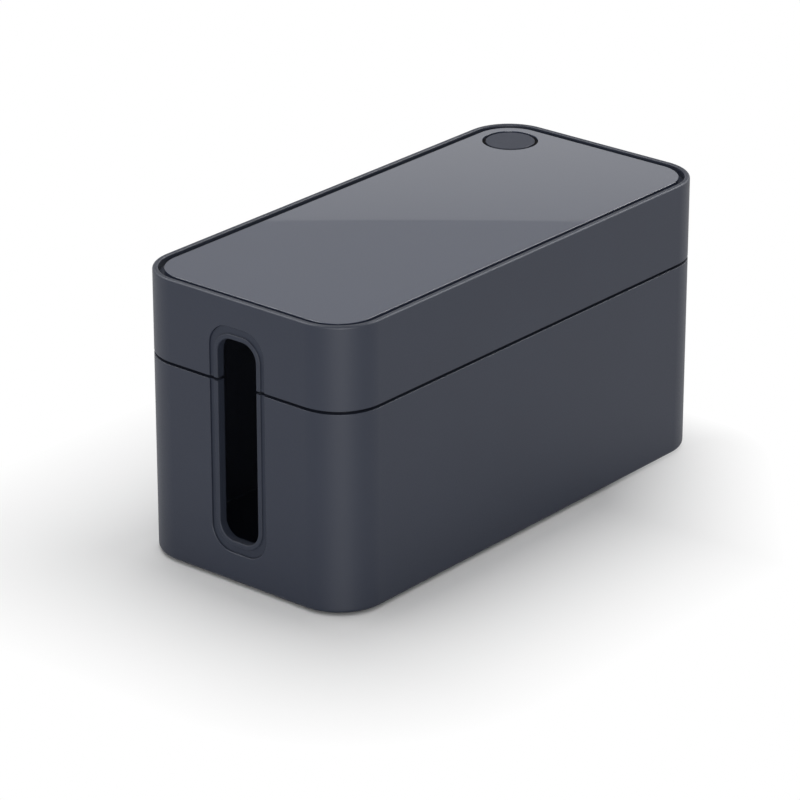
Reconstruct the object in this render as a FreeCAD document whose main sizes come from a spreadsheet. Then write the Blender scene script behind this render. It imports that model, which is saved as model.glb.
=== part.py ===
import FreeCAD, Part
import Sketcher

import math
import os
import re

# Cable management box: a moulded tub with a lift-off lid, a seated top panel with a
# plugged cable outlet, edge trims round the two end slots, and four rubber feet.
# X is the length, Y the width, Z up; the origin is the middle of the footprint.

doc = FreeCAD.newDocument("CableBox")

sizes = {
    # overall form
    "boxLength": 246.0,
    "boxWidth": 116.0,
    "boxHeight": 128.0,
    "cornerRadius": 21.6,
    "splitHeight": 90.85,
    "splitGap": 1.0,
    "wall": 2.5,
    "floorThick": 2.5,
    "bottomRound": 2.0,
    "rimRound": 1.1,
    "rimInnerRound": 0.7,
    # lip of the tub and the shoulder of the lid that rests on it
    "lipThick": 1.6,
    "lipRise": 5.0,
    "lipRoot": 9.0,
    "lipOverlap": 1.2,
    "lidClearance": 0.3,
    "shoulderThick": 2.0,
    # top panel in its rim
    "rimWidth": 2.4,
    "grooveWidth": 2.6,
    "panelDrop": 0.6,
    "panelThick": 3.0,
    "panelChamfer": 0.35,
    "deckThick": 2.2,
    # bosses and screws that hold the panel down from below
    "bossRadius": 3.5,
    "bossClearance": 0.3,
    "bossShort": 0.3,
    "bossInset": 17.0,
    "pilotRadius": 1.5,
    "pilotDepth": 4.0,
    "screwClearance": 0.05,
    "screwShort": 0.3,
    "screwHeadRadius": 5.0,
    "screwHeadThick": 2.0,
    "driveRadius": 1.5,
    "driveDepth": 1.2,
    # cable outlet: grommet and cap
    "outletInset": 21.9,
    "outletRadius": 12.5,
    "grommetWall": 1.3,
    "grommetFit": 0.1,
    "grommetDrop": 0.8,
    "grommetFlange": 2.2,
    "flangeThick": 2.0,
    "shelfThick": 3.0,
    "shelfWidth": 1.6,
    "capFit": 0.05,
    "capStem": 1.2,
    "capWall": 1.6,
    "capRound": 0.4,
    # end slots and their trims
    "slotHalfWidth": 10.5,
    "slotBottom": 20.0,
    "slotTop": 110.3,
    "slotRadius": 7.5,
    "trimBand": 4.3,
    "trimBandEnds": 5.3,
    "trimRadius": 10.5,
    "trimDepth": 1.5,
    "trimReach": 4.0,
    "sleeveThick": 1.5,
    "trimGap": 0.45,
    "trimEdge": 1.0,
    # feet
    "footRadius": 7.0,
    "footStand": 1.0,
    "footSunk": 1.0,
    "footFit": 0.05,
    "footInset": 24.0,
    "footRound": 0.4,
}

sheet = doc.addObject("Spreadsheet::Sheet", "Sizes")
for row, (alias, value) in enumerate(sizes.items(), start=1):
    sheet.set(f"A{row}", alias)
    sheet.set(f"B{row}", str(value))
    sheet.setAlias(f"B{row}", alias)

# sizes that follow from the driving ones
derived = {
    "tubTop": "=splitHeight - splitGap / 2",
    "lidBottom": "=splitHeight + splitGap / 2",
    "floorTop": "=footStand + floorThick",
    "lipInset": "=wall + lidClearance",
    "lipInner": "=wall + lidClearance + lipThick",
    "lipTop": "=splitHeight + splitGap / 2 + lipRise",
    "panelTop": "=boxHeight - panelDrop",
    "deckTop": "=boxHeight - panelDrop - panelThick",
    "deckBottom": "=boxHeight - panelDrop - panelThick - deckThick",
    "panelInset": "=rimWidth + grooveWidth",
    "sleeveHalf": "=slotHalfWidth + sleeveThick",
    "holeHalf": "=slotHalfWidth + sleeveThick + trimGap",
    "bandHalf": "=slotHalfWidth + trimBand",
    "seatHalf": "=slotHalfWidth + trimBand + trimGap",
    "outletX": "=boxLength / 2 - outletInset",
    "outletY": "=boxWidth / 2 - outletInset",
    "capRadius": "=outletRadius - grommetFit - grommetWall - capFit",
    "shelfTop": "=boxHeight - panelDrop - panelThick - deckThick - flangeThick + shelfThick",
    "bossX": "=boxLength / 2 - bossInset",
    "bossY": "=boxWidth / 2 - bossInset",
    "footX": "=boxLength / 2 - footInset",
    "footY": "=boxWidth / 2 - footInset",
}
for row, (alias, formula) in enumerate(derived.items(), start=len(sizes) + 1):
    sheet.set(f"A{row}", alias)
    sheet.set(f"B{row}", formula)
    sheet.setAlias(f"B{row}", alias)
doc.recompute()


def size(name):
    return float(sheet.get(name))


def bound(expression):
    """The expression with each of the sheet's words made a reference to its cell."""
    return re.sub(r"[A-Za-z]+", r"Sizes.\g<0>", expression)


def amount(word):
    return size(word) if word[0].isalpha() else float(word)


def product(term):
    words = term.split()
    value = amount(words[0])
    for action, word in zip(words[1::2], words[2::2]):
        value = value * amount(word) if action == "*" else value / amount(word)
    return value


def measure(expression):
    """The expression's present value, for a sketch's first guess; it has no brackets."""
    terms = re.split(r" ([+-]) ", expression)
    total = product(terms[0])
    for sign, term in zip(terms[1::2], terms[2::2]):
        total += product(term) if sign == "+" else -product(term)
    return total


def newBody(label):
    body = doc.addObject("PartDesign::Body", label)
    body.Label = label
    return body


def newSketch(body, name, plane, level):
    """A sketch on an origin plane of the body, moved out along its normal to level."""
    sketch = body.newObject("Sketcher::SketchObject", name)
    origin = [f for f in body.Origin.OriginFeatures if f.Role == plane][0]
    sketch.AttachmentSupport = [(origin, "")]
    sketch.MapMode = "FlatFace"
    sketch.setExpression(".AttachmentOffset.Base.z", bound(level))
    return sketch


def datum(sketch, kind, places, expression, value):
    """A named measure of the sketch that follows the sheet."""
    number = sketch.addConstraint(Sketcher.Constraint(kind, *places, value))
    sketch.setExpression(f"Constraints[{number}]", bound(expression))


def circle(sketch, x, y, radius):
    """A circle at x, y; each is an expression of the sheet's words, or 0."""
    cx, cy, r = measure(x), measure(y), measure(radius)
    number = sketch.addGeometry(Part.Circle(FreeCAD.Vector(cx, cy, 0), FreeCAD.Vector(0, 0, 1), r))
    datum(sketch, "Radius", (number,), radius, r)
    placeAt(sketch, number, 3, x, y)


def placeAt(sketch, number, point, x, y):
    """Holds a point of the geometry at x, y from the sketch's origin."""
    for kind, expression in (("DistanceX", x), ("DistanceY", y)):
        datum(sketch, kind, (-1, 1, number, point), expression, measure(expression))


def roundedBox(sketch, left, right, low, high, radius):
    """A rectangle with round corners, from four expressions for its sides."""
    x0, x1, y0, y1, r = (measure(e) for e in (left, right, low, high, radius))
    vector = FreeCAD.Vector
    normal = vector(0, 0, 1)
    quarter = math.pi / 2
    lines = [
        ((x0 + r, y0), (x1 - r, y0)),
        ((x1, y0 + r), (x1, y1 - r)),
        ((x1 - r, y1), (x0 + r, y1)),
        ((x0, y1 - r), (x0, y0 + r)),
    ]
    centres = [(x1 - r, y0 + r, 3), (x1 - r, y1 - r, 0), (x0 + r, y1 - r, 1), (x0 + r, y0 + r, 2)]
    side, arc = [], []
    for (ax, ay), (bx, by) in lines:
        side.append(sketch.addGeometry(Part.LineSegment(vector(ax, ay, 0), vector(bx, by, 0))))
    for cx, cy, turn in centres:
        curve = Part.Circle(vector(cx, cy, 0), normal, r)
        start = turn * quarter
        arc.append(sketch.addGeometry(Part.ArcOfCircle(curve, start, start + quarter)))
    for i in range(4):
        sketch.addConstraint(Sketcher.Constraint("Tangent", side[i], 2, arc[i], 1))
        sketch.addConstraint(Sketcher.Constraint("Tangent", arc[i], 2, side[(i + 1) % 4], 1))
        if i:
            sketch.addConstraint(Sketcher.Constraint("Equal", arc[0], arc[i]))
    for i, kind in enumerate(("Horizontal", "Vertical", "Horizontal", "Vertical")):
        sketch.addConstraint(Sketcher.Constraint(kind, side[i]))
    datum(sketch, "Radius", (arc[0],), radius, r)
    datum(sketch, "DistanceX", (-1, 1, side[3], 1), left, x0)
    datum(sketch, "DistanceX", (-1, 1, side[1], 1), right, x1)
    datum(sketch, "DistanceY", (-1, 1, side[0], 1), low, y0)
    datum(sketch, "DistanceY", (-1, 1, side[2], 1), high, y1)


def plan(sketch, inset):
    """The box's outline seen from above, drawn in by inset."""
    roundedBox(
        sketch,
        f"0 - boxLength / 2 + {inset}", f"boxLength / 2 - {inset}",
        f"0 - boxWidth / 2 + {inset}", f"boxWidth / 2 - {inset}",
        f"cornerRadius - {inset}",
    )


def pad(body, sketch, length):
    feature = body.newObject("PartDesign::Pad", sketch.Name + "Pad")
    feature.Profile = sketch
    feature.setExpression("Length", bound(length))
    return settle(body, feature, grows=True)


def pocket(body, sketch, length, reverse=False):
    feature = body.newObject("PartDesign::Pocket", sketch.Name + "Cut")
    feature.Profile = sketch
    feature.Reversed = reverse
    feature.setExpression("Length", bound(length))
    return settle(body, feature, grows=False)


def settle(body, feature, grows):
    """Rebuilds the body and makes sure that the feature changed it the right way."""
    before = body.Shape.Volume if not body.Shape.isNull() else 0.0
    doc.recompute()
    after = body.Shape.Volume
    if "Invalid" in feature.State or "Error" in feature.State:
        raise RuntimeError(f"{feature.Name} failed: {feature.State}")
    if (after > before) != grows:
        raise RuntimeError(f"{feature.Name} points away from its body")
    return feature


def dress(body, kind, expression, chosen):
    """A fillet or chamfer on the edges for which chosen(edge box) is true."""
    tip = body.Tip
    names = [
        f"Edge{i}" for i, edge in enumerate(tip.Shape.Edges, start=1) if chosen(edge.BoundBox)
    ]
    if not names:
        raise RuntimeError(f"{body.Label} has no edge for its {kind}")
    feature = body.newObject(f"PartDesign::{kind}", body.Name + kind + tip.Name)
    feature.Base = (tip, names)
    feature.setExpression("Radius" if kind == "Fillet" else "Size", bound(expression))
    doc.recompute()
    if "Invalid" in feature.State or not body.Shape.isValid():
        raise RuntimeError(f"{feature.Name} failed: {feature.State}")
    return feature


def near(value, target):
    return abs(value - target) < 0.01


def flatAt(level):
    """Chooses the edges that lie wholly at one height."""
    return lambda box: near(box.ZMin, level) and near(box.ZMax, level)


def endSlot(body, name, sideways, low, high, radius, start, depth):
    """Cuts the slot's outline through or into both ends of a shell, from start inwards."""
    for end, sign, reverse in (("Left", -1, False), ("Right", 1, True)):
        level = f"{start} - boxLength / 2" if sign < 0 else f"boxLength / 2 - {start}"
        sketch = newSketch(body, f"{name}{end}", "YZ_Plane", level)
        roundedBox(sketch, f"0 - {sideways}", sideways, low, high, radius)
        pocket(body, sketch, depth, reverse=(sign < 0))


def outerSlot(body, name):
    """The through hole for the trim's sleeve, and the shallow seat for its band."""
    endSlot(
        body, name + "Hole", "holeHalf",
        "slotBottom - sleeveThick - trimGap", "slotTop + sleeveThick + trimGap",
        "slotRadius + sleeveThick + trimGap", "0", "lipInner + trimReach",
    )
    endSlot(
        body, name + "Seat", "seatHalf",
        "slotBottom - trimBandEnds - trimGap", "slotTop + trimBandEnds + trimGap",
        "trimRadius + trimGap", "0", "trimDepth",
    )


def fourCorners(body, name, level, x, y, radius, depth, action, reverse=False):
    """The same round pad or pocket at the four corners, in one sketch."""
    sketch = newSketch(body, name, "XY_Plane", level)
    for sx in ("", "0 - "):
        for sy in ("", "0 - "):
            circle(sketch, sx + x, sy + y, radius)
    if action == "pad":
        pad(body, sketch, depth)
    else:
        pocket(body, sketch, depth, reverse)


# the panel's bosses: at the middle and corners of its long sides, bar the outlet's corner
bossPlaces = [
    (x, y) for x in ("bossX", "0", "0 - bossX") for y in ("bossY", "0 - bossY")
    if (x, y) != ("bossX", "bossY")
]

# tub: outer shell, hollow, locating lip, end slots, seats for the feet
tub = newBody("base_tub")
outline = newSketch(tub, "TubOutline", "XY_Plane", "footStand")
plan(outline, "0")
pad(tub, outline, "tubTop - footStand")
lip = newSketch(tub, "TubLip", "XY_Plane", "tubTop - lipOverlap")
plan(lip, "lipInset")
pad(tub, lip, "lipTop - tubTop + lipOverlap")
hollow = newSketch(tub, "TubHollow", "XY_Plane", "tubTop - lipRoot")
plan(hollow, "wall")
pocket(tub, hollow, "tubTop - lipRoot - floorTop")
throat = newSketch(tub, "TubThroat", "XY_Plane", "lipTop")
plan(throat, "lipInner")
pocket(tub, throat, "lipTop - tubTop + lipRoot")
outerSlot(tub, "TubSlot")
fourCorners(tub, "TubFootSeat", "footStand", "footX", "footY", "footRadius + footFit", "footSunk",
            "pocket", True)
dress(tub, "Fillet", "bottomRound", lambda box: flatAt(size("footStand"))(box)
      and max(box.XLength, box.YLength) > size("footRadius") * 2 + 1)

# lid: skirt, resting shoulder, deck, rim, end slots, holes for the panel's bosses
lid = newBody("lid_shell")
outline = newSketch(lid, "LidOutline", "XY_Plane", "lidBottom")
plan(outline, "0")
pad(lid, outline, "boxHeight - lidBottom")
skirt = newSketch(lid, "LidSkirt", "XY_Plane", "lidBottom")
plan(skirt, "wall")
pocket(lid, skirt, "lipTop - lidBottom", True)
throat = newSketch(lid, "LidThroat", "XY_Plane", "lipTop")
plan(throat, "lipInner")
pocket(lid, throat, "shoulderThick", True)
hollow = newSketch(lid, "LidHollow", "XY_Plane", "lipTop + shoulderThick")
plan(hollow, "wall")
pocket(lid, hollow, "deckBottom - lipTop - shoulderThick", True)
recess = newSketch(lid, "LidRecess", "XY_Plane", "boxHeight")
plan(recess, "rimWidth")
pocket(lid, recess, "boxHeight - deckTop")
outerSlot(lid, "LidSlot")
bossHoles = newSketch(lid, "LidBossHoles", "XY_Plane", "deckTop")
for x, y in bossPlaces:
    circle(bossHoles, x, y, "bossRadius + bossClearance")
circle(bossHoles, "outletX", "outletY", "outletRadius")
pocket(lid, bossHoles, "deckThick")
dress(lid, "Fillet", "rimRound", lambda box: flatAt(size("boxHeight"))(box)
      and (box.XMax > size("boxLength") / 2 - 0.01 or box.XMin < 0.01 - size("boxLength") / 2
           or box.YMax > size("boxWidth") / 2 - 0.01 or box.YMin < 0.01 - size("boxWidth") / 2))

rimInside = (size("boxLength") / 2 - size("rimWidth"), size("boxWidth") / 2 - size("rimWidth"))
dress(lid, "Fillet", "rimInnerRound", lambda box: flatAt(size("boxHeight"))(box)
      and box.XMax < rimInside[0] + 0.01 and box.XMin > -rimInside[0] - 0.01
      and box.YMax < rimInside[1] + 0.01 and box.YMin > -rimInside[1] - 0.01)

# top panel: flat plate with bosses under it, drilled for the screws
panel = newBody("top_panel")
outline = newSketch(panel, "PanelOutline", "XY_Plane", "deckTop")
plan(outline, "panelInset")
pad(panel, outline, "panelThick")
outlet = newSketch(panel, "PanelOutlet", "XY_Plane", "panelTop")
circle(outlet, "outletX", "outletY", "outletRadius")
pocket(panel, outlet, "panelThick")
dress(panel, "Chamfer", "panelChamfer", lambda box: flatAt(size("panelTop"))(box))
bosses = newSketch(panel, "PanelBosses", "XY_Plane", "deckBottom + bossShort")
for x, y in bossPlaces:
    circle(bosses, x, y, "bossRadius")
pad(panel, bosses, "deckThick - bossShort")
pilots = newSketch(panel, "PanelPilots", "XY_Plane", "deckBottom + bossShort")
for x, y in bossPlaces:
    circle(pilots, x, y, "pilotRadius")
pocket(panel, pilots, "pilotDepth", True)

# screws that draw the panel down on the deck, heads below it
for number, (x, y) in enumerate(bossPlaces, start=1):
    screw = newBody(f"panel_screw_{number}")
    head = newSketch(screw, f"Screw{number}Head", "XY_Plane", "deckBottom - screwHeadThick")
    circle(head, x, y, "screwHeadRadius")
    pad(screw, head, "screwHeadThick")
    shank = newSketch(screw, f"Screw{number}Shank", "XY_Plane", "deckBottom")
    circle(shank, x, y, "pilotRadius - screwClearance")
    pad(screw, shank, "bossShort + pilotDepth - screwShort")
    drive = newSketch(screw, f"Screw{number}Drive", "XY_Plane", "deckBottom - screwHeadThick")
    circle(drive, x, y, "driveRadius")
    pocket(screw, drive, "driveDepth", True)

# grommet: rubber sleeve in the outlet, a flange under the deck, a shelf for the cap
grommet = newBody("cap_grommet")
flange = newSketch(grommet, "GrommetFlange", "XY_Plane", "deckBottom - flangeThick")
circle(flange, "outletX", "outletY", "outletRadius + grommetFlange")
pad(grommet, flange, "flangeThick")
sleeve = newSketch(grommet, "GrommetSleeve", "XY_Plane", "deckBottom")
circle(sleeve, "outletX", "outletY", "outletRadius - grommetFit")
pad(grommet, sleeve, "panelTop - grommetDrop - deckBottom")
bore = newSketch(grommet, "GrommetBore", "XY_Plane", "deckBottom - flangeThick")
circle(bore, "outletX", "outletY", "capRadius - shelfWidth + capFit")
pocket(grommet, bore, "panelTop - deckBottom + flangeThick", True)
mouth = newSketch(grommet, "GrommetMouth", "XY_Plane", "shelfTop")
circle(mouth, "outletX", "outletY", "capRadius + capFit")
pocket(grommet, mouth, "panelTop - shelfTop", True)

# cap: a disc flush with the panel, with a hollow stem that plugs the grommet
cap = newBody("cable_cap")
disc = newSketch(cap, "CapDisc", "XY_Plane", "shelfTop")
circle(disc, "outletX", "outletY", "capRadius")
pad(cap, disc, "panelTop - shelfTop")
stem = newSketch(cap, "CapStem", "XY_Plane", "deckBottom - flangeThick - capStem")
circle(stem, "outletX", "outletY", "capRadius - shelfWidth")
pad(cap, stem, "shelfTop - deckBottom + flangeThick + capStem")
cup = newSketch(cap, "CapCup", "XY_Plane", "deckBottom - flangeThick - capStem")
circle(cup, "outletX", "outletY", "capRadius - shelfWidth - capWall")
pocket(cap, cup, "shelfTop - deckBottom + flangeThick + capStem", True)
dress(cap, "Fillet", "capRound", flatAt(size("panelTop")))

# end trims: a band in its seat with a sleeve through the wall, split with the shells
for end, sign in (("left", -1), ("right", 1)):
    for owner in ("tub", "lid"):
        trim = newBody(f"{owner}_slot_trim_{end}")
        stem = trim.Name.replace("_", "").title()

        def across(name, sideways, low, high, radius, start):
            level = f"{start} - boxLength / 2" if sign < 0 else f"boxLength / 2 - {start}"
            sketch = newSketch(trim, stem + name, "YZ_Plane", level)
            roundedBox(sketch, f"0 - {sideways}", sideways, low, high, radius)
            return sketch

        sleeve = across("Sleeve", "sleeveHalf", "slotBottom - sleeveThick",
                        "slotTop + sleeveThick", "slotRadius + sleeveThick", "0")
        feature = pad(trim, sleeve, "trimReach")
        feature.Reversed = sign > 0
        band = across("Band", "bandHalf", "slotBottom - trimBandEnds",
                      "slotTop + trimBandEnds", "trimRadius", "0")
        feature = pad(trim, band, "trimDepth")
        feature.Reversed = sign > 0
        doc.recompute()
        mouth = across("Mouth", "slotHalfWidth", "slotBottom", "slotTop", "slotRadius", "0")
        pocket(trim, mouth, "trimReach", reverse=(sign < 0))
        dress(trim, "Fillet", "trimEdge", lambda box: (
            near(box.XMin, sign * size("boxLength") / 2) and near(box.XMax, box.XMin)
        ))
        parting = "tubTop" if owner == "tub" else "lidBottom"
        keep = newSketch(trim, stem + "Parting", "XY_Plane", parting)
        roundedBox(keep, "0 - boxLength", "boxLength", "0 - boxWidth", "boxWidth", "cornerRadius")
        pocket(trim, keep, "boxHeight", reverse=(owner == "tub"))

# feet
for side, sx in (("left", "0 - "), ("right", "")):
    for place, sy in (("front", "0 - "), ("rear", "")):
        foot = newBody(f"foot_{place}_{side}")
        puck = newSketch(foot, f"Foot{place}{side}".title(), "XY_Plane", "0")
        circle(puck, sx + "footX", sy + "footY", "footRadius")
        pad(foot, puck, "footStand + footSunk")
        dress(foot, "Fillet", "footRound", flatAt(0.0))

doc.recompute()
for thing in doc.Objects:
    if "Invalid" in thing.State or "Error" in thing.State:
        raise RuntimeError(f"{thing.Name} is {thing.State}")

os.makedirs("parts", exist_ok=True)
for body in [thing for thing in doc.Objects if thing.TypeId == "PartDesign::Body"]:
    if body.Shape.isNull() or not body.Shape.isValid():
        raise RuntimeError(f"{body.Label} has no valid shape")
    body.Shape.exportStep(f"parts/{body.Label}.step")
    print(body.Label, "solids", len(body.Shape.Solids), "volume", round(body.Shape.Volume, 1))
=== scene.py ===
import math

import bmesh
import bpy
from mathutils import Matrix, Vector


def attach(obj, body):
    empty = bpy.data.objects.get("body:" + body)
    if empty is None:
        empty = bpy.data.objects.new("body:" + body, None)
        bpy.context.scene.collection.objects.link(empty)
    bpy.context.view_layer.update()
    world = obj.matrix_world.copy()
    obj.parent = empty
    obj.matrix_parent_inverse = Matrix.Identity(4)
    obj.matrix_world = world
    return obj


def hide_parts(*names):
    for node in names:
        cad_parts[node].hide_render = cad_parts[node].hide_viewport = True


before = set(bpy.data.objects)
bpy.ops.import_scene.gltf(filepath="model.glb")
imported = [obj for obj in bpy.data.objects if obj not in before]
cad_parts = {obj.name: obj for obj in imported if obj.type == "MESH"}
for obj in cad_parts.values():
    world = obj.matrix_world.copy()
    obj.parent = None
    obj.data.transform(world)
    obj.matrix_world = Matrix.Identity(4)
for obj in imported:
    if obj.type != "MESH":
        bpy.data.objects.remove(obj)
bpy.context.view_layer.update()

# the box itself, in millimetres: the shells, the panel, the cap and the trims share these
box = {
    "length": 246.0,
    "width": 116.0,
    "height": 128.0,
    "corner": 21.6,
    "cornerSteps": 20,
    "wall": 2.5,
    "foot": 1.0,
    "floor": 2.5,
    "parting": 90.65,
    "gap": 1.4,
    "lipGap": 0.3,
    "lipThick": 1.6,
    "lipRise": 5.0,
    "lipRoot": 9.0,
    "rim": 2.4,
    "groove": 2.6,
    "panelDrop": 0.6,
    "panelThick": 3.0,
    "deckThick": 2.2,
}
tubTop = box["parting"] - box["gap"] / 2
lidBottom = box["parting"] + box["gap"] / 2
lipTop = lidBottom + box["lipRise"]
lipInner = box["wall"] + box["lipGap"] + box["lipThick"]
panelTop = box["height"] - box["panelDrop"]
deckTop = panelTop - box["panelThick"]
deckBottom = deckTop - box["deckThick"]
perMetre = 1000     # sizes are in millimetres, the scene is in metres
beyond = 5.0     # how far a cutting block reaches past what it cuts
touch = 0.01     # tells one level or side from another
fold = math.radians(20)     # faces that meet at more than this make an edge


# leaves the piece selected and active, and nothing else
def single(piece):
    bpy.ops.object.select_all(action="DESELECT")
    piece.select_set(True)
    bpy.context.view_layer.objects.active = piece


# opens one piece in edit mode with nothing selected, and gives its mesh
def editing(piece):
    single(piece)
    bpy.ops.object.mode_set(mode="EDIT")
    bpy.ops.mesh.select_mode(type="EDGE")
    bpy.ops.mesh.select_all(action="DESELECT")
    return bmesh.from_edit_mesh(piece.data)


# opens the piece with the sharp edges selected for which wanted(start, end) is true
def pickEdges(piece, wanted):
    mesh = editing(piece)
    for edge in mesh.edges:
        start, end = (v.co * perMetre for v in edge.verts)
        if edge.is_manifold and edge.calc_face_angle() > fold and wanted(start, end):
            edge.select_set(True)
    bmesh.update_edit_mesh(piece.data)


# opens the piece with the faces selected for which wanted(centre) is true
def pickFaces(piece, wanted):
    mesh = editing(piece)
    bpy.ops.mesh.select_mode(type="FACE")
    for face in mesh.faces:
        if wanted(face.calc_center_median() * perMetre):
            face.select_set(True)
    bmesh.update_edit_mesh(piece.data)


def closeEdit():
    bpy.ops.object.mode_set(mode="OBJECT")


# makes a test of one point into a test of an edge's two ends
def bothEnds(wanted):
    return lambda start, end: wanted(start) and wanted(end)


# rounds the edges for which wanted(start, end) is true
def roundOver(piece, wanted, radius, steps):
    pickEdges(piece, wanted)
    bpy.ops.mesh.bevel(offset=radius / perMetre, segments=steps, profile=0.5, affect="EDGES")
    closeEdit()


# names the mesh object that was just added
def takeNew(name):
    piece = bpy.context.active_object
    piece.name = name
    piece.data.name = name
    return piece


# a block between two corners in millimetres, with its edges along axis rounded
def block(name, low, high, axis=2, radius=0.0, steps=1):
    low, high = Vector(low) / perMetre, Vector(high) / perMetre
    bpy.ops.object.select_all(action="DESELECT")
    bpy.ops.mesh.primitive_cube_add(size=1, location=(low + high) / 2)
    piece = takeNew(name)
    piece.scale = high - low
    bpy.ops.object.transform_apply(location=True, rotation=True, scale=True)
    if radius:
        across = [i for i in range(3) if i != axis]
        roundOver(piece, lambda start, end: all(abs(start[i] - end[i]) < touch for i in across),
                  radius, steps)
    return piece


# a block with the box's rounded outline seen from above, drawn in by inset
def planBlock(name, inset, low, high):
    x, y = box["length"] / 2 - inset, box["width"] / 2 - inset
    radius = box["corner"] - inset
    return block(name, (-x, -y, low), (x, y, high), 2, radius, box["cornerSteps"])


# an upright cylinder about place, between two heights
def drum(name, place, radius, low, high, sides=96):
    bpy.ops.object.select_all(action="DESELECT")
    middle = Vector((place[0], place[1], (low + high) / 2)) / perMetre
    bpy.ops.mesh.primitive_cylinder_add(
        vertices=sides, radius=radius / perMetre, depth=(high - low) / perMetre, location=middle)
    piece = takeNew(name)
    bpy.ops.object.transform_apply(location=True, rotation=True, scale=True)
    return piece


# cuts the tool out of the piece, or joins it on, and takes the tool away
def combine(piece, tool, how="DIFFERENCE"):
    single(piece)
    modifier = piece.modifiers.new("combine", "BOOLEAN")
    modifier.operation = how
    modifier.solver = "EXACT"
    modifier.object = tool
    bpy.ops.object.modifier_apply(modifier=modifier.name)
    bpy.data.objects.remove(tool, do_unlink=True)


# breaks every sharp edge with a small radius, as a mould does, and smooths the shading
def soften(piece, width, steps=3, sharper=32.0):
    single(piece)
    modifier = piece.modifiers.new("soften", "BEVEL")
    modifier.limit_method = "ANGLE"
    modifier.angle_limit = math.radians(sharper)
    modifier.width = width / perMetre
    modifier.segments = steps
    modifier.use_clamp_overlap = True
    bpy.ops.object.modifier_apply(modifier=modifier.name)
    bpy.ops.object.shade_smooth_by_angle(angle=math.radians(sharper))
    # keeps the shading of the wide faces flat
    flatten = piece.modifiers.new("flatten", "WEIGHTED_NORMAL")
    flatten.keep_sharp = True
    bpy.ops.object.modifier_apply(modifier=flatten.name)


# gives the piece its finish and its body, and hides the CAD nodes that it stands for
def dressPiece(piece, material, body, slotName, *nodes):
    piece.data.materials.clear()
    piece.data.materials.append(material)
    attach(piece, body)
    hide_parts(*nodes)


# finishes

def newMaterial(name):
    material = bpy.data.materials.new(name)
    material.use_nodes = True
    nodes = material.node_tree.nodes
    return material, nodes, material.node_tree.links, nodes["Principled BSDF"]


# noise on the piece's own coordinates; scale is in features to the metre
def objectNoise(nodes, links, scale, detail, roughness):
    place = nodes.new("ShaderNodeTexCoord")
    noise = nodes.new("ShaderNodeTexNoise")
    noise.inputs["Scale"].default_value = scale
    noise.inputs["Detail"].default_value = detail
    noise.inputs["Roughness"].default_value = roughness
    links.new(place.outputs["Object"], noise.inputs["Vector"])
    return noise.outputs["Fac"]


# turns a range of the source into another; noise mostly lies between 0.3 and 0.7
def spread(nodes, links, source, low, high, fromLow=0.3, fromHigh=0.7):
    reach = nodes.new("ShaderNodeMapRange")
    reach.inputs["From Min"].default_value = fromLow
    reach.inputs["From Max"].default_value = fromHigh
    reach.inputs["To Min"].default_value = low
    reach.inputs["To Max"].default_value = high
    links.new(source, reach.inputs["Value"])
    return reach.outputs["Result"]


noiseKinds = {"cloud": (4.0, 0.6), "mould": (3.0, 0.55), "plating": (4.0, 0.7)}


# one fine grain sets both the roughness and the bump
def addGrain(nodes, links, shader, look, kind):
    grain = objectNoise(nodes, links, look["grainScale"], *noiseKinds[kind])
    worn = spread(nodes, links, grain, look["rough"] - look["roughSpread"],
                  look["rough"] + look["roughSpread"])
    links.new(worn, shader.inputs["Roughness"])
    bump = nodes.new("ShaderNodeBump")
    bump.inputs["Strength"].default_value = look["grainStrength"]
    bump.inputs["Distance"].default_value = look["grainDepth"] / perMetre
    links.new(grain, bump.inputs["Height"])
    links.new(bump.outputs["Normal"], shader.inputs["Normal"])


# moulded plastic or rubber: cloudy colour, uneven roughness and a fine grain
def mouldedFinish(name, look):
    material, nodes, links, shader = newMaterial(name)
    tint = nodes.new("ShaderNodeMix")
    tint.data_type = "RGBA"
    dark = [c * (1 - look["cloud"]) for c in look["colour"]]
    pale = [c * (1 + look["cloud"]) for c in look["colour"]]
    tint.inputs["A"].default_value = (*dark, 1)
    tint.inputs["B"].default_value = (*pale, 1)
    cloud = objectNoise(nodes, links, look["cloudScale"], *noiseKinds["cloud"])
    links.new(spread(nodes, links, cloud, 0.0, 1.0), tint.inputs["Factor"])
    links.new(tint.outputs["Result"], shader.inputs["Base Color"])
    addGrain(nodes, links, shader, look, "mould")
    shader.inputs["IOR"].default_value = look["ior"]
    if "sheen" in look:
        shader.inputs["Sheen Weight"].default_value = look["sheen"]
        shader.inputs["Sheen Roughness"].default_value = look["sheenRough"]
    if "coat" in look:
        shader.inputs["Coat Weight"].default_value = look["coat"]
        shader.inputs["Coat Roughness"].default_value = look["coatRough"]
    return material


shellPlastic = mouldedFinish("shellPlastic", {
    "colour": (0.0195, 0.025, 0.043), "cloud": 0.035, "cloudScale": 22.0,
    "grainScale": 1500.0, "grainStrength": 0.22, "grainDepth": 0.09,
    "rough": 0.5, "roughSpread": 0.05, "ior": 1.37,
})
panelPlastic = mouldedFinish("panelPlastic", {
    "colour": (0.040, 0.049, 0.082), "cloud": 0.02, "cloudScale": 18.0,
    "grainScale": 1900.0, "grainStrength": 0.05, "grainDepth": 0.02,
    "rough": 0.45, "roughSpread": 0.03, "ior": 1.2, "coat": 0.9, "coatRough": 0.008,
})
capPlastic = mouldedFinish("capPlastic", {
    "colour": (0.036, 0.041, 0.060), "cloud": 0.04, "cloudScale": 60.0,
    "grainScale": 2200.0, "grainStrength": 0.3, "grainDepth": 0.08,
    "rough": 0.55, "roughSpread": 0.06, "ior": 1.25,
})
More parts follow.
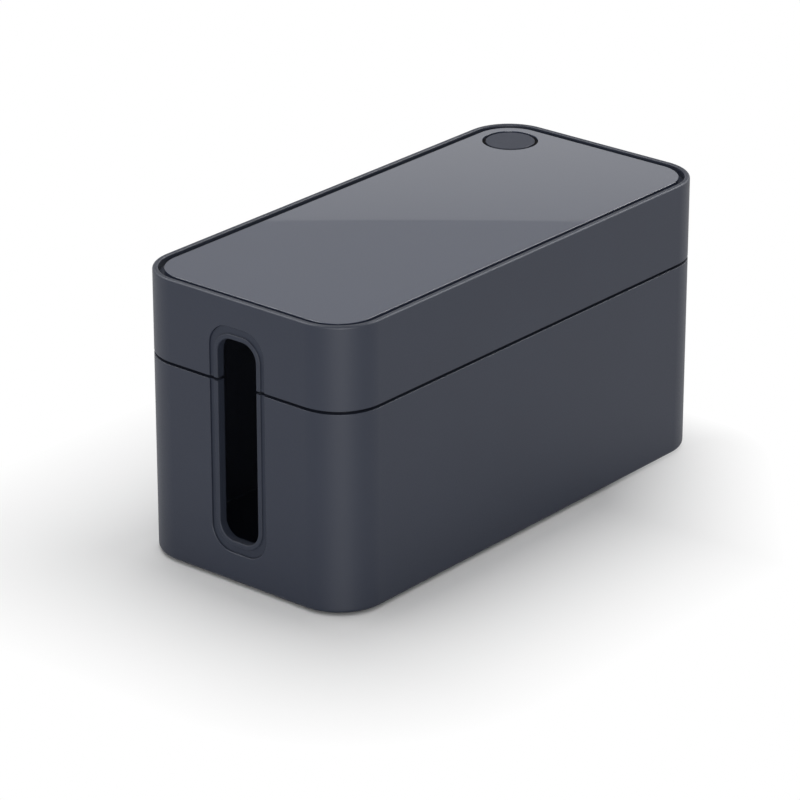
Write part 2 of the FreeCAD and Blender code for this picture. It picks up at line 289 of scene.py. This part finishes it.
trimRubber = mouldedFinish("trimRubber", {
    "colour": (0.0195, 0.025, 0.042), "cloud": 0.05, "cloudScale": 70.0,
    "grainScale": 2400.0, "grainStrength": 0.2, "grainDepth": 0.05,
    "rough": 0.6, "roughSpread": 0.06, "ior": 1.33,
})
grommetRubber = mouldedFinish("grommetRubber", {
    "colour": (0.006, 0.006, 0.007), "cloud": 0.08, "cloudScale": 120.0,
    "grainScale": 2600.0, "grainStrength": 0.3, "grainDepth": 0.06,
    "rough": 0.8, "roughSpread": 0.08, "ior": 1.12,
})
footRubber = mouldedFinish("footRubber", {
    "colour": (0.014, 0.014, 0.015), "cloud": 0.10, "cloudScale": 150.0,
    "grainScale": 1800.0, "grainStrength": 0.4, "grainDepth": 0.12,
    "rough": 0.8, "roughSpread": 0.08, "ior": 1.5, "sheen": 0.1, "sheenRough": 0.4,
})


def platedSteel():
    look = {
        "colour": (0.52, 0.53, 0.55),
        "grainScale": 2600.0, "grainStrength": 0.15, "grainDepth": 0.04,
        "rough": 0.32, "roughSpread": 0.07,
    }
    material, nodes, links, shader = newMaterial("platedSteel")
    shader.inputs["Metallic"].default_value = 1.0
    shader.inputs["Base Color"].default_value = (*look["colour"], 1)
    addGrain(nodes, links, shader, look, "plating")
    return material


screwSteel = platedSteel()
print("finishes made")

# end slots: the hole and the seat of the trim's band, which both shells carry

slotSizes = {
    "half": 10.5,          # of the clear width
    "bottom": 20.0,
    "top": 110.3,
    "radius": 7.5,
    "band": 4.3,           # the trim's band, beside the hole
    "bandEnds": 5.3,       # and above and below it
    "bandRadius": 10.5,
    "bandDepth": 1.5,
    "reach": 4.0,          # of the trim's sleeve into the box
    "sleeve": 1.5,
    "gap": 0.15,           # between trim and shell
    "steps": 12,
    "seatRound": 0.4,
    "seatSteps": 4,
}


# a block of the slot's outline, grown by outward at its sides and endward at its ends
def slotBlock(name, sign, outward, endward, radius, fromFace, toFace):
    face = box["length"] / 2
    ends = sorted((sign * (face - fromFace), sign * (face - toFace)))
    half = slotSizes["half"] + outward
    return block(
        name, (ends[0], -half, slotSizes["bottom"] - endward),
        (ends[1], half, slotSizes["top"] + endward), 0, radius, slotSizes["steps"])


def cutSlots(shell):
    hole = slotSizes["sleeve"] + slotSizes["gap"]
    face = box["length"] / 2 - touch
    seat = slotSizes["half"] + slotSizes["band"] + slotSizes["gap"] + touch
    for sign in (-1, 1):
        combine(shell, slotBlock("slotHole", sign, hole, hole, slotSizes["radius"] + hole,
                                 -beyond, lipInner + slotSizes["reach"]))
        combine(shell, slotBlock("slotSeat", sign, slotSizes["band"] + slotSizes["gap"],
                                 slotSizes["bandEnds"] + slotSizes["gap"],
                                 slotSizes["bandRadius"] + slotSizes["gap"],
                                 -beyond, slotSizes["bandDepth"]))
    roundOver(shell, bothEnds(lambda point: abs(point.x) > face and abs(point.y) < seat),
              slotSizes["seatRound"], slotSizes["seatSteps"])


# tub

tubSizes = {
    "bottomRound": 2.0, "bottomSteps": 5, "edge": 0.3,
    "footSeat": 7.05, "footSunk": 1.0, "footInset": 24.0, "footSides": 48,
}
footX = box["length"] / 2 - tubSizes["footInset"]
footY = box["width"] / 2 - tubSizes["footInset"]
footPlaces = [(x, y) for x in (-footX, footX) for y in (-footY, footY)]


def makeTub():
    tub = planBlock("tubShell", 0.0, box["foot"], tubTop)
    roundOver(tub, bothEnds(lambda point: point.z < box["foot"] + touch),
              tubSizes["bottomRound"], tubSizes["bottomSteps"])
    lipLow = tubTop - box["lipRoot"]
    combine(tub, planBlock("lip", box["wall"] + box["lipGap"], lipLow, lipTop), "UNION")
    combine(tub, planBlock("throat", lipInner, lipLow - touch, lipTop + beyond))
    combine(tub, planBlock("hollow", box["wall"], box["foot"] + box["floor"], lipLow))
    cutSlots(tub)
    for place in footPlaces:
        combine(tub, drum("seat", place, tubSizes["footSeat"], box["foot"] - beyond,
                          box["foot"] + tubSizes["footSunk"], tubSizes["footSides"]))
    soften(tub, tubSizes["edge"])
    dressPiece(tub, shellPlastic, "base", "shell", "base_tub")


makeTub()
print("tub made")

# outlet and bosses, which the lid and the panel share

outlet = {
    "inset": 21.9, "radius": 12.5, "cap": 11.05, "shelf": 1.6, "stem": 1.2, "wall": 1.6,
    "flange": 2.0, "shelfThick": 3.0,
}
outletPlace = (box["length"] / 2 - outlet["inset"], box["width"] / 2 - outlet["inset"])
bosses = {
    "inset": 17.0, "radius": 3.5, "gap": 0.3, "short": 0.3, "sides": 32,
    "pilot": 1.5, "depth": 4.0, "pilotSides": 24,
}
bossX = box["length"] / 2 - bosses["inset"]
bossY = box["width"] / 2 - bosses["inset"]
# five, since the outlet takes the place of the first
bossPlaces = [(x, y) for x in (bossX, 0.0, -bossX) for y in (bossY, -bossY)][1:]

# lid

lidSizes = {"rimRound": 1.1, "rimInner": 0.7, "rimSteps": 5, "edge": 0.3, "shoulder": 2.0}


def makeLid():
    lid = planBlock("lidShell", 0.0, lidBottom, box["height"])
    high = box["height"] - touch
    roundOver(lid, bothEnds(lambda point: point.z > high),
              lidSizes["rimRound"], lidSizes["rimSteps"])
    shoulderTop = lipTop + lidSizes["shoulder"]
    combine(lid, planBlock("skirt", box["wall"], lidBottom - beyond, lipTop))
    combine(lid, planBlock("throat", lipInner, lipTop - touch, shoulderTop + touch))
    combine(lid, planBlock("hollow", box["wall"], shoulderTop, deckBottom))
    combine(lid, planBlock("recess", box["rim"], deckTop, box["height"] + beyond))
    recessX = box["length"] / 2 - box["rim"] + touch
    recessY = box["width"] / 2 - box["rim"] + touch
    roundOver(lid, bothEnds(lambda point: point.z > high and abs(point.x) < recessX
                            and abs(point.y) < recessY),
              lidSizes["rimInner"], lidSizes["rimSteps"])
    cutSlots(lid)
    combine(lid, drum("outletHole", outletPlace, outlet["radius"], deckBottom - beyond,
                      box["height"]))
    for place in bossPlaces:
        combine(lid, drum("bossHole", place, bosses["radius"] + bosses["gap"],
                          deckBottom - beyond, deckTop + beyond, bosses["sides"]))
    soften(lid, lidSizes["edge"])
    dressPiece(lid, shellPlastic, "lid", "shell", "lid_shell")


makeLid()
print("lid made")

# top panel

panelSizes = {"edge": 0.4}


def makePanel():
    panel = planBlock("topPanel", box["rim"] + box["groove"], deckTop, panelTop)
    for place in bossPlaces:
        combine(panel, drum("boss", place, bosses["radius"], deckBottom + bosses["short"],
                            deckTop + touch, bosses["sides"]), "UNION")
        combine(panel, drum("pilot", place, bosses["pilot"], deckBottom - beyond,
                            deckBottom + bosses["short"] + bosses["depth"],
                            bosses["pilotSides"]))
    combine(panel, drum("outletHole", outletPlace, outlet["radius"], deckTop - beyond,
                        panelTop + beyond))
    soften(panel, panelSizes["edge"])
    dressPiece(panel, panelPlastic, "lid", "panel", "top_panel")


makePanel()
print("panel made")

# cap: a disc with a hollow stem below, drawn out of one drum

capSizes = {"edge": 0.4}


# moves what is selected up or down as a new part of the piece
def pull(rise):
    bpy.ops.mesh.extrude_region_move(TRANSFORM_OT_translate={"value": (0, 0, rise / perMetre)})


def makeCap():
    shelfTop = deckBottom - outlet["flange"] + outlet["shelfThick"]
    stemLow = deckBottom - outlet["flange"] - outlet["stem"]
    cap = drum("outletCap", outletPlace, outlet["cap"], shelfTop, panelTop)
    pickFaces(cap, lambda centre: centre.z < shelfTop + touch)
    bpy.ops.mesh.inset(thickness=outlet["shelf"] / perMetre, depth=0)
    pull(stemLow - shelfTop)
    bpy.ops.mesh.inset(thickness=outlet["wall"] / perMetre, depth=0)
    pull(shelfTop - stemLow)
    closeEdit()
    soften(cap, capSizes["edge"])
    dressPiece(cap, capPlastic, "cap", "cap", "cable_cap")


makeCap()
print("cap made")

# slot trims: one loop for each end, parted where the shells part

trimSizes = {
    "bead": 2.2,          # beside the hole
    "channel": 0.8,       # how far the rest of the band lies below the bead
    "edge": 0.6, "edgeSteps": 4,
    "soft": 0.12, "softSteps": 2, "softFold": 40.0,
}


def makeTrims(sign, end):
    bead = trimSizes["bead"]
    whole = slotBlock("trimSleeve", sign, slotSizes["sleeve"], slotSizes["sleeve"],
                      slotSizes["radius"] + slotSizes["sleeve"], touch, slotSizes["reach"])
    combine(whole, slotBlock("trimBand", sign, slotSizes["band"], slotSizes["bandEnds"],
                             slotSizes["bandRadius"], trimSizes["channel"],
                             slotSizes["bandDepth"]), "UNION")
    combine(whole, slotBlock("trimBead", sign, bead, bead, slotSizes["radius"] + bead,
                             0.0, slotSizes["bandDepth"]), "UNION")
    combine(whole, slotBlock("trimMouth", sign, 0.0, 0.0, slotSizes["radius"],
                             -beyond, slotSizes["reach"] + beyond))
    face = sign * box["length"] / 2
    roundOver(whole, bothEnds(lambda point: abs(point.x - face) < touch),
              trimSizes["edge"], trimSizes["edgeSteps"])
    far = box["length"]
    halves = (("tub", -far, tubTop, "base"), ("lid", lidBottom, far, "lid"))
    for owner, low, high, body in halves:
        half = whole.copy()
        half.data = whole.data.copy()
        half.name = f"{owner}Trim{end.title()}"
        bpy.context.scene.collection.objects.link(half)
        combine(half, block("keep", (-far, -far, low), (far, far, high)), "INTERSECT")
        soften(half, trimSizes["soft"], trimSizes["softSteps"], trimSizes["softFold"])
        dressPiece(half, trimRubber, body, "trim", f"{owner}_slot_trim_{end}")
    bpy.data.objects.remove(whole, do_unlink=True)


makeTrims(-1, "left")
makeTrims(1, "right")
print("trims made")

# small CAD pieces keep their shape and take a finish

nodeFinishes = {"grommet": grommetRubber, "foot_": footRubber, "screw": screwSteel}
for name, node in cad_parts.items():
    for word, material in nodeFinishes.items():
        if word in name:
            for materialSlot in node.material_slots:
                materialSlot.material = material

# floor, lights and camera

stage = {
    "lampAim": (0, 0, 0.06),
    "floorSize": 6.0,
    "floorColour": (0.82, 0.82, 0.82),
    "floorRough": 0.9,
    "paintedGlowFrom": 0.008,       # the floor is painted with a white glow from this far from the box, which paints the outer part of its shadow away
    "paintedGlowTo": 0.105,
    "leanFrom": 0.04,         # and the painted glow starts sooner between these places on X, which paints the shadow shorter there
    "leanTo": 0.24,
    "leanShift": 0.16,
    "skyHorizon": 1.1,
    "skyLow": 0.80,
    "skyHigh": 0.55,
    "skyLine": 0.352,         # where the pale sweep ends, as the height of a unit direction
    "skyFade": 0.022,
    "diffuseSky": 0.5,
}


# one step of arithmetic on a vector
def vectorStep(nodes, links, source, operation, second=(0, 0, 0)):
    step = nodes.new("ShaderNodeVectorMath")
    step.operation = operation
    step.inputs[1].default_value = second
    links.new(source, step.inputs[0])
    return step.outputs


def makeFloor():
    bpy.ops.object.select_all(action="DESELECT")
    bpy.ops.mesh.primitive_plane_add(size=stage["floorSize"], location=(0, 0, 0))
    floor = bpy.context.active_object
    floor.name = "floor"
    material, nodes, links, shader = newMaterial("floorPaper")
    shader.inputs["Base Color"].default_value = (*stage["floorColour"], 1)
    shader.inputs["Roughness"].default_value = stage["floorRough"]
    shader.inputs["Specular IOR Level"].default_value = 0.0
    # painted glow: white emission on the floor, which is no lamp
    white = nodes.new("ShaderNodeEmission")
    place = nodes.new("ShaderNodeTexCoord").outputs["Object"]
    # the distance from the box's footprint
    halfPlan = (box["length"] / 2 / perMetre, box["width"] / 2 / perMetre, 0)
    side = vectorStep(nodes, links, place, "ABSOLUTE")["Vector"]
    outside = vectorStep(nodes, links, side, "SUBTRACT", halfPlan)["Vector"]
    positive = vectorStep(nodes, links, outside, "MAXIMUM")["Vector"]
    distance = vectorStep(nodes, links, positive, "LENGTH")["Value"]
    # the painted glow comes nearer the box towards +X, which paints the shadow shorter there
    axes = nodes.new("ShaderNodeSeparateXYZ")
    links.new(place, axes.inputs["Vector"])
    shift = spread(nodes, links, axes.outputs["X"], 0.0, stage["leanShift"],
                   stage["leanFrom"], stage["leanTo"])
    lean = nodes.new("ShaderNodeMath")
    lean.operation = "ADD"
    links.new(shift, lean.inputs[0])
    links.new(distance, lean.inputs[1])
    # where the painted glow covers the lit floor: none at the box and all of it further out, so
    # the box's shadow is painted out past that
    paintedGlowMask = spread(nodes, links, lean.outputs["Value"], 0.0, 1.0,
                  stage["paintedGlowFrom"], stage["paintedGlowTo"])
    mix = nodes.new("ShaderNodeMixShader")
    links.new(paintedGlowMask, mix.inputs["Fac"])
    links.new(shader.outputs["BSDF"], mix.inputs[1])
    links.new(white.outputs["Emission"], mix.inputs[2])
    links.new(mix.outputs["Shader"], nodes["Material Output"].inputs["Surface"])
    floor.data.materials.append(material)


# a strength that goes from one value to another, each a number or a socket
def blend(nodes, links, factor, start, end):
    mix = nodes.new("ShaderNodeMix")
    links.new(factor, mix.inputs["Factor"])
    for socket, value in (("A", start), ("B", end)):
        if isinstance(value, float):
            mix.inputs[socket].default_value = value
        else:
            links.new(value, mix.inputs[socket])
    return mix.outputs["Result"]


# white to the camera, a pale sweep under a darker room to reflections, dim to the rest
def makeWorld():
    world = bpy.data.worlds.new("studio")
    bpy.context.scene.world = world
    world.use_nodes = True
    nodes, links = world.node_tree.nodes, world.node_tree.links
    shown = nodes["Background"]
    shown.inputs["Color"].default_value = (1, 1, 1, 1)
    place = nodes.new("ShaderNodeTexCoord")
    axes = nodes.new("ShaderNodeSeparateXYZ")
    links.new(place.outputs["Generated"], axes.inputs["Vector"])
    sweep = spread(nodes, links, axes.outputs["Z"], stage["skyHorizon"], stage["skyLow"],
                   stage["skyLine"] - stage["skyFade"], stage["skyLine"])
    above = nodes.new("ShaderNodeMath")
    above.operation = "GREATER_THAN"
    above.inputs[1].default_value = stage["skyLine"]
    links.new(axes.outputs["Z"], above.inputs[0])
    rays = nodes.new("ShaderNodeLightPath").outputs
    room = blend(nodes, links, above.outputs["Value"], sweep, stage["skyHigh"])
    unseen = blend(nodes, links, rays["Is Glossy Ray"], stage["diffuseSky"], room)
    strength = blend(nodes, links, rays["Is Camera Ray"], unseen, 1.0)
    links.new(strength, shown.inputs["Strength"])


# adds a lamp or the camera at its place, turned to its target
def addAimed(name, data, place, target):
    thing = bpy.data.objects.new(name, data)
    bpy.context.scene.collection.objects.link(thing)
    thing.location = place
    aim = Vector(target) - Vector(place)
    thing.rotation_euler = aim.to_track_quat("-Z", "Y").to_euler()
    return thing


# lights the surfaces themselves or, with glint, only shows in their sheen
def lamp(name, place, size, power, glint=False):
    light = bpy.data.lights.new(name, "AREA")
    light.shape = "RECTANGLE"
    light.size, light.size_y = size
    light.energy = power
    lampObject = addAimed(name, light, place, stage["lampAim"])
    lampObject.visible_glossy = glint
    lampObject.visible_diffuse = not glint


def makeCamera():
    view = {
        "place": (-1.2798, -1.0521, 0.7504), "aim": (-0.0133, 0.00478, 0.04723),
        "lens": 187.27, "sensor": 36.0,
    }
    camera = bpy.data.cameras.new("camera")
    camera.lens = view["lens"]
    camera.sensor_width = view["sensor"]
    bpy.context.scene.camera = addAimed("camera", camera, view["place"], view["aim"])


makeFloor()
makeWorld()
lamp("topSoftbox", place=(0.10, 0.28, 1.25), size=(1.6, 1.2), power=9.5)
lamp("frontSoftbox", place=(-1.15, -0.75, 0.45), size=(0.9, 0.6), power=4.2)
lamp("cornerCard", place=(-1.87, -1.84, 0.55), size=(1.4, 1.0), power=85.0, glint=True)
lamp("rimCardLeft", place=(-0.45, 1.05, 1.45), size=(1.0, 1.0), power=36.0, glint=True)
lamp("rimCardRight", place=(1.28, -0.49, 1.2), size=(1.0, 1.0), power=36.0, glint=True)
makeCamera()
bpy.context.scene.view_settings.view_transform = "Standard"
print("stage made")
